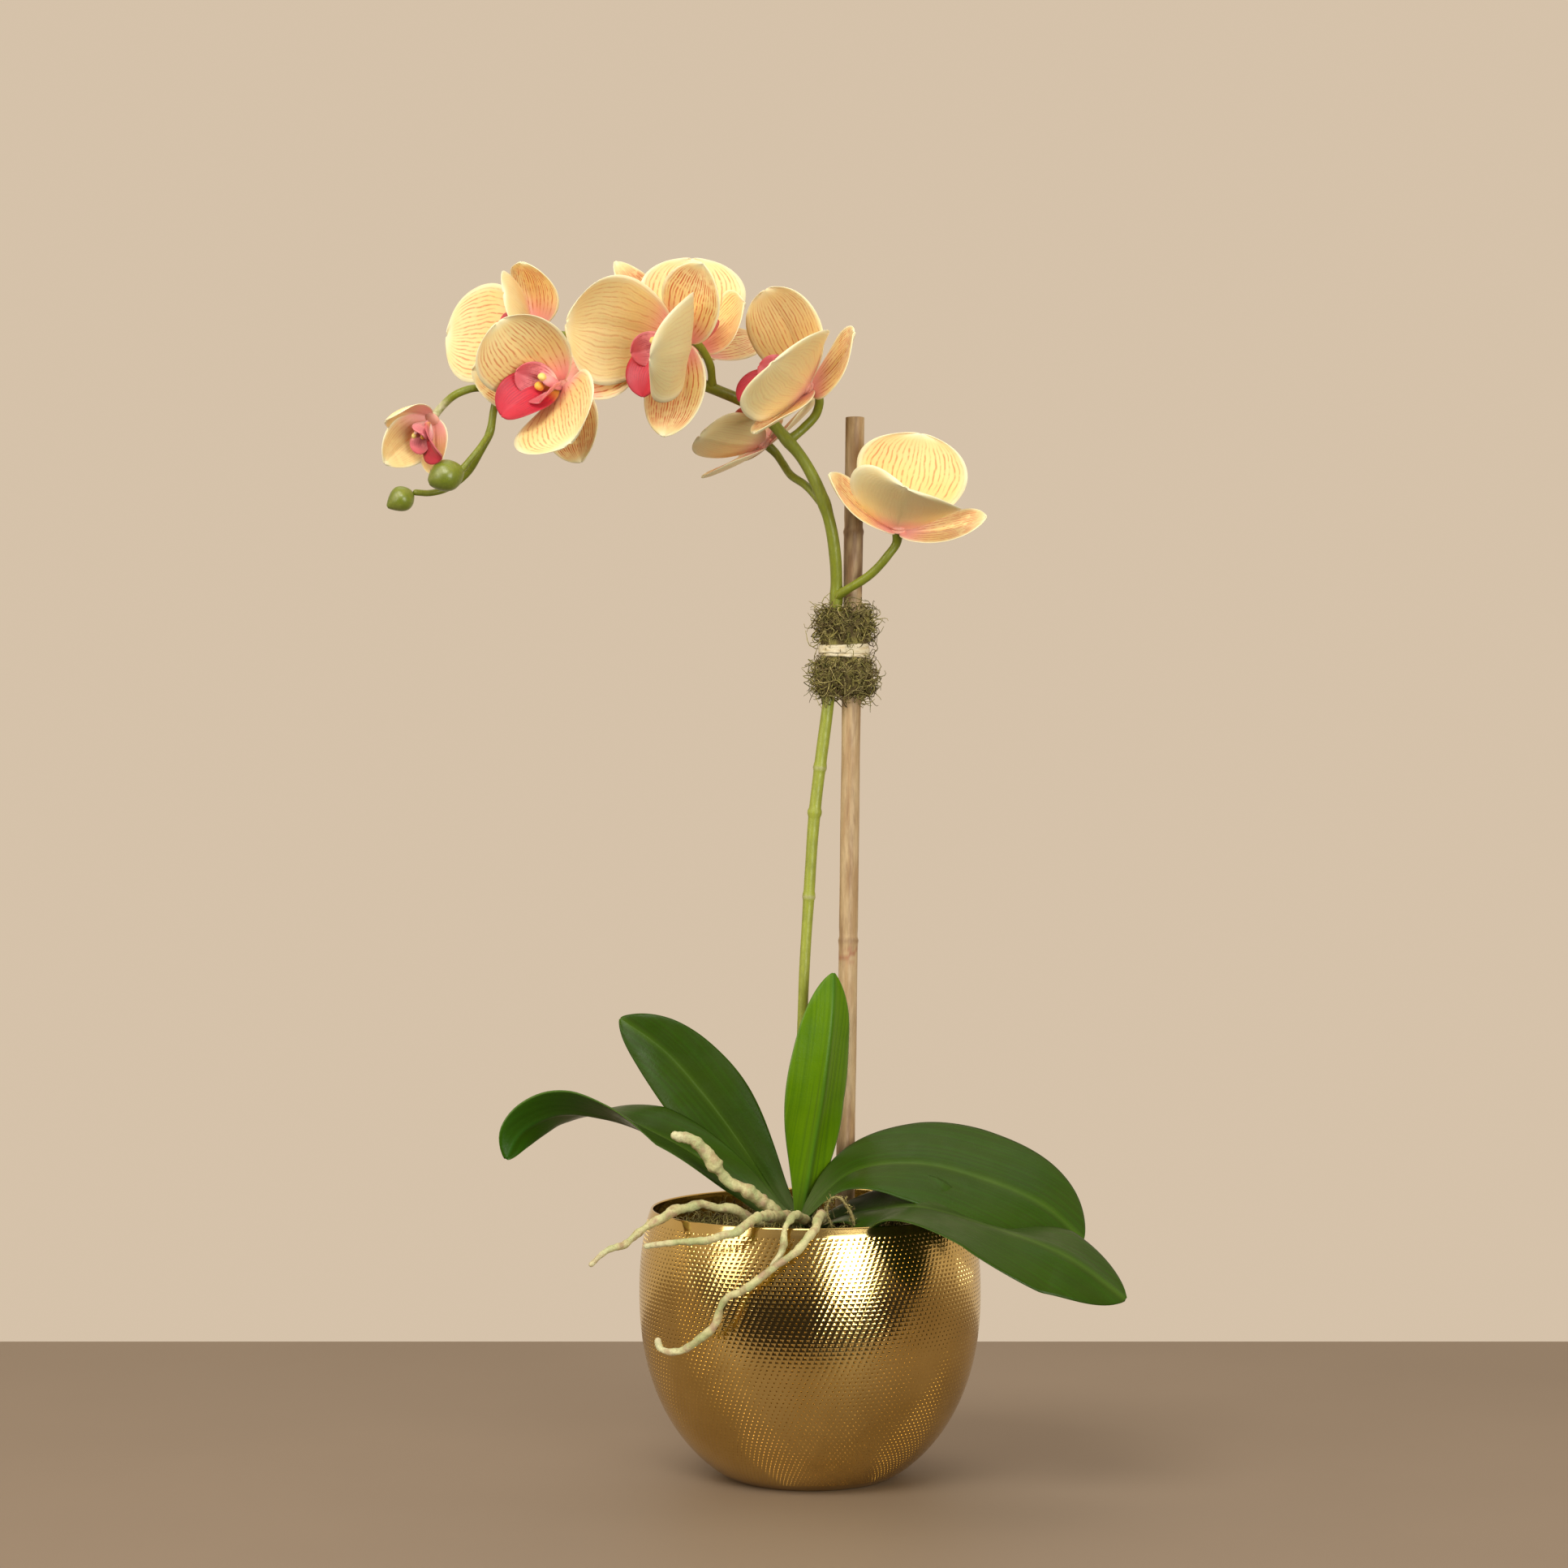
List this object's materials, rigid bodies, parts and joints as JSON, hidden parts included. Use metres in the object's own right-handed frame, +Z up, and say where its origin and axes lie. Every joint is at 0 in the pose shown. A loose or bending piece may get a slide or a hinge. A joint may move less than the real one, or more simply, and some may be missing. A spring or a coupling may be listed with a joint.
{
  "type": "potted orchid",
  "caption": "Arching moth orchid with yellow and pink flowers, tied to a bamboo stake, with strap leaves and trailing roots in a round gold metal bowl.",
  "frame": {"origin": "centre of the bowl's foot, on the surface it stands on", "axes": "+Z up along the bowl's axis; the front of the plant faces -Y and the flower spike arches towards -X"},
  "size_m": [0.3178, 0.1681, 0.5449],
  "materials": {
    "gold_metal": "polished gold-toned metal, punched all over with small dimples",
    "potting_mix": "dark loose mix",
    "moss": "dry olive and brown moss",
    "bamboo": "bare bamboo, mottled brown",
    "raffia": "pale raffia",
    "leaf": "deep green, soft sheen, paler underside",
    "stem": "olive to yellow green, soft sheen",
    "root": "pale cream green with brown patches",
    "bud": "olive green, soft sheen",
    "petal": "cream yellow with orange veins and a pink base",
    "lip": "crimson and pink with a yellow centre"
  },
  "bodies": {
    "root": {"bamboo_stake": "bamboo", "bud_end": "bud", "bud_large": "bud", "crown": "stem", "flower_centre_back_lip": "lip", "flower_centre_back_petals": "petal", "flower_centre_back_sepals": "petal", "flower_centre_lip": "lip", "flower_centre_petals": "petal", "flower_centre_sepals": "petal", "flower_far_right_lip": "lip", "flower_far_right_petals": "petal", "flower_far_right_sepals": "petal", "flower_left_back_lip": "lip", "flower_left_back_petals": "petal", "flower_left_back_sepals": "petal", "flower_left_lip": "lip", "flower_left_petals": "petal", "flower_left_sepals": "petal", "flower_low_lip": "lip", "flower_low_petals": "petal", "flower_low_sepals": "petal", "flower_right_lip": "lip", "flower_right_petals": "petal", "flower_right_sepals": "petal", "flower_spike": "stem", "flower_tip_lip": "lip", "flower_tip_sepals": "petal", "leaf_centre": "leaf", "leaf_left_high": "leaf", "leaf_left_low": "leaf", "leaf_right_high": "leaf", "leaf_right_low": "leaf", "moss_bed": "moss", "moss_tendril": "moss", "moss_wrap": "moss", "pedicel_bud": "stem", "pedicel_centre": "stem", "pedicel_centre_back": "stem", "pedicel_far_right": "stem", "pedicel_left": "stem", "pedicel_left_back": "stem", "pedicel_low": "stem", "pedicel_right": "stem", "pedicel_tip": "stem", "pot": "gold_metal", "potting_mix": "potting_mix", "raffia_tie": "raffia", "root_front_long": "root", "root_front_short": "root", "root_rim_far": "root", "root_rim_near": "root", "root_thick": "root"}
  },
  "joints": []
}
